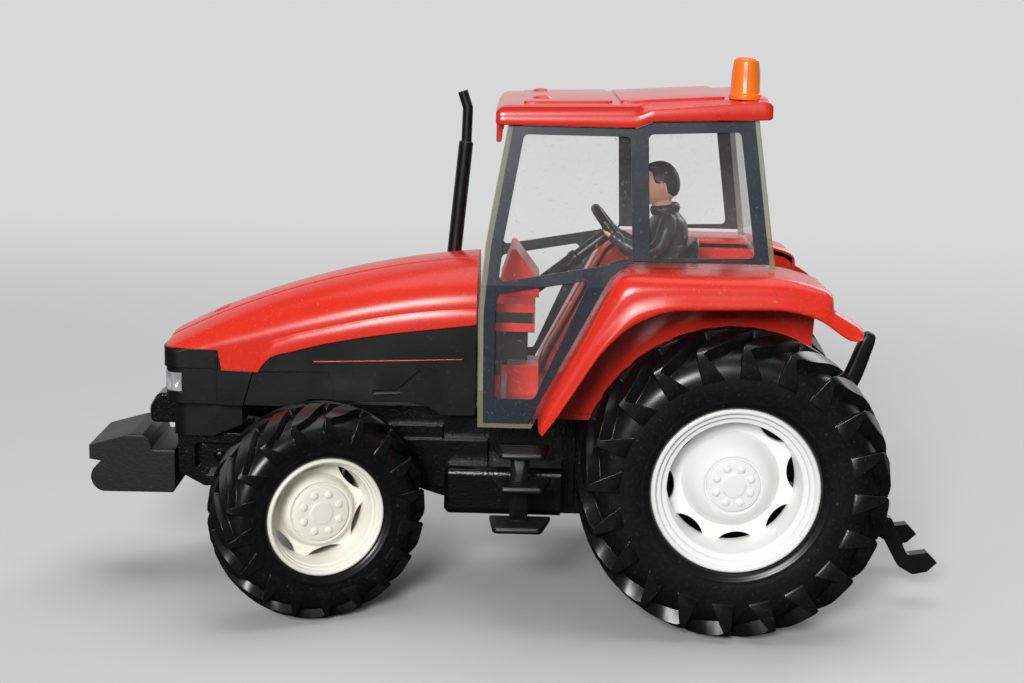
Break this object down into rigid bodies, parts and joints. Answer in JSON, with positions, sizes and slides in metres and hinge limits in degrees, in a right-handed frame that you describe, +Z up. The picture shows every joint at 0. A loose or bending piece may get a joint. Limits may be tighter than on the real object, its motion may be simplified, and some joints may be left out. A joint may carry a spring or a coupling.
{
  "type": "toy farm tractor",
  "caption": "Small plastic model of a farm tractor with a clear cab, turning front wheels, rolling wheels and a rear linkage that lifts.",
  "frame": {"origin": "middle of the overall length and width, on the ground under the tyres", "axes": "+X forward, +Y to the tractor's left, +Z up"},
  "size_m": [0.1626, 0.0734, 0.1033],
  "materials": {
    "black_plastic": "satin moulded black plastic",
    "red_plastic": "glossy orange-red moulded plastic",
    "roof_red": "glossy red moulded plastic",
    "interior_red": "red moulded plastic",
    "clear_plastic": "clear moulded plastic",
    "black_print": "black print on the clear moulding",
    "orange_plastic": "orange moulded plastic",
    "silver_paint": "bright silver",
    "driver_jacket": "painted plastic figure, dark jacket",
    "steel": "plain steel shaft",
    "tyre": "glossy black vinyl",
    "ivory_rim": "ivory moulded plastic",
    "white_rim": "white moulded plastic"
  },
  "bodies": {
    "tractor": {"chassis": "black_plastic", "front_axle": "black_plastic", "rear_axle": "steel", "bonnet": "red_plastic", "side_panels": "black_plastic", "nose_housing": "black_plastic", "headlights": "silver_paint", "front_weights": "black_plastic", "exhaust": "black_plastic", "cab_glazing": "clear_plastic", "cab_frames": "black_print", "cab_roof": "roof_red", "beacon": "orange_plastic", "fender_left": "red_plastic", "fender_right": "red_plastic", "cab_floor": "interior_red", "dashboard": "interior_red", "steering_wheel": "black_plastic", "seat": "black_plastic", "driver": "driver_jacket", "steps_left": "black_plastic", "steps_right": "black_plastic", "top_link": "black_plastic"},
    "left_knuckle": {"steering_knuckle_left": "black_plastic"},
    "right_knuckle": {"steering_knuckle_right": "black_plastic"},
    "tie_rod": {"tie_rod": "black_plastic"},
    "front_left_wheel": {"front_tyre_left": "tyre", "front_rim_left": "ivory_rim"},
    "front_right_wheel": {"front_tyre_right": "tyre", "front_rim_right": "ivory_rim"},
    "rear_left_wheel": {"rear_tyre_left": "tyre", "rear_rim_left": "white_rim"},
    "rear_right_wheel": {"rear_tyre_right": "tyre", "rear_rim_right": "white_rim"},
    "lower_links": {"lower_links": "black_plastic"}
  },
  "joints": [
    {"name": "steer_left", "type": "hinge", "parent": "tractor", "child": "left_knuckle", "pos_m": [0.03895, 0.0172, 0.02], "axis": [0, 0, 1], "range_deg": [-51.2, 2]},
    {"name": "steer_right", "type": "hinge", "parent": "tractor", "child": "right_knuckle", "pos_m": [0.03895, -0.0172, 0.02], "axis": [0, 0, 1], "range_deg": [-51.2, 2]},
    {"name": "tie_rod_swing", "type": "hinge", "parent": "left_knuckle", "child": "tie_rod", "pos_m": [0.03395, 0.01491, 0.0144], "axis": [0, 0, 1], "range_deg": [-2, 51.2]},
    {"name": "front_left_roll", "type": "hinge", "parent": "left_knuckle", "child": "front_left_wheel", "pos_m": [0.03895, 0.0172, 0.02], "axis": [-0.4163, 0.9092, 0], "continuous": true},
    {"name": "front_right_roll", "type": "hinge", "parent": "right_knuckle", "child": "front_right_wheel", "pos_m": [0.03895, -0.0172, 0.02], "axis": [-0.4163, 0.9092, 0], "continuous": true},
    {"name": "rear_left_roll", "type": "hinge", "parent": "tractor", "child": "rear_left_wheel", "pos_m": [-0.03915, 0, 0.0281], "axis": [0, 1, 0], "continuous": true},
    {"name": "rear_right_roll", "type": "hinge", "parent": "tractor", "child": "rear_right_wheel", "pos_m": [-0.03915, 0, 0.0281], "axis": [0, 1, 0], "continuous": true},
    {"name": "hitch_lift", "type": "hinge", "parent": "tractor", "child": "lower_links", "pos_m": [-0.04865, 0, 0.0211], "axis": [0, 1, 0], "range_deg": [0, 40]}
  ],
  "couplings": [
    {"joint": "steer_right", "follows": "steer_left", "ratio": 1},
    {"joint": "tie_rod_swing", "follows": "steer_left", "ratio": -1}
  ]
}
